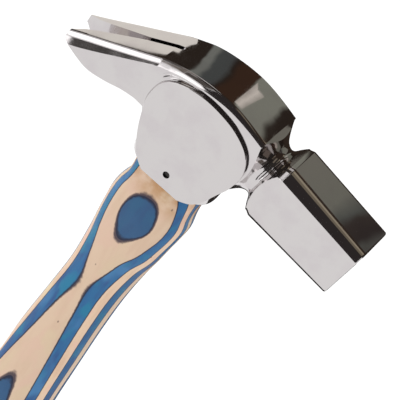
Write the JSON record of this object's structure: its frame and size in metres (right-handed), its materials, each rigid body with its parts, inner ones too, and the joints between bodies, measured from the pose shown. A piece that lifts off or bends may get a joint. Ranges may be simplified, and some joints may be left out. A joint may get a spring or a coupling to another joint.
{
  "type": "farrier driving hammer",
  "caption": "Light farrier's hammer for driving and wringing off horseshoe nails: polished steel head with square poll and slotted claw, pinned on a handle of blue and natural wood plies.",
  "frame": {"origin": "flat of the lower cheek, on the axis of the handle", "axes": "+Z out of the upper cheek, +Y up the handle to the crown of the head, +X from the claw to the striking face"},
  "size_m": [0.0953, 0.2998, 0.0215],
  "materials": {
    "polished_steel": "mirror-polished forged steel",
    "pin_steel": "cut end, dull",
    "bedding_resin": "cured resin",
    "natural_ply": "sanded and oiled",
    "blue_ply": "dyed through, sanded and oiled"
  },
  "bodies": {
    "root": {"hammer_head": "polished_steel", "cross_pin": "pin_steel", "socket_bedding": "bedding_resin", "ply_core_natural": "natural_ply", "ply_upper_1_blue": "blue_ply", "ply_upper_2_natural": "natural_ply", "ply_upper_3_blue": "blue_ply", "ply_upper_4_natural": "natural_ply", "ply_upper_5_blue_shoulder": "blue_ply", "ply_upper_5_blue_grip": "blue_ply", "ply_upper_6_natural_butt": "natural_ply", "ply_lower_1_blue": "blue_ply", "ply_lower_2_natural": "natural_ply", "ply_lower_3_blue": "blue_ply", "ply_lower_4_natural": "natural_ply", "ply_lower_5_blue_shoulder": "blue_ply", "ply_lower_5_blue_grip": "blue_ply", "ply_lower_6_natural_butt": "natural_ply"}
  },
  "joints": []
}
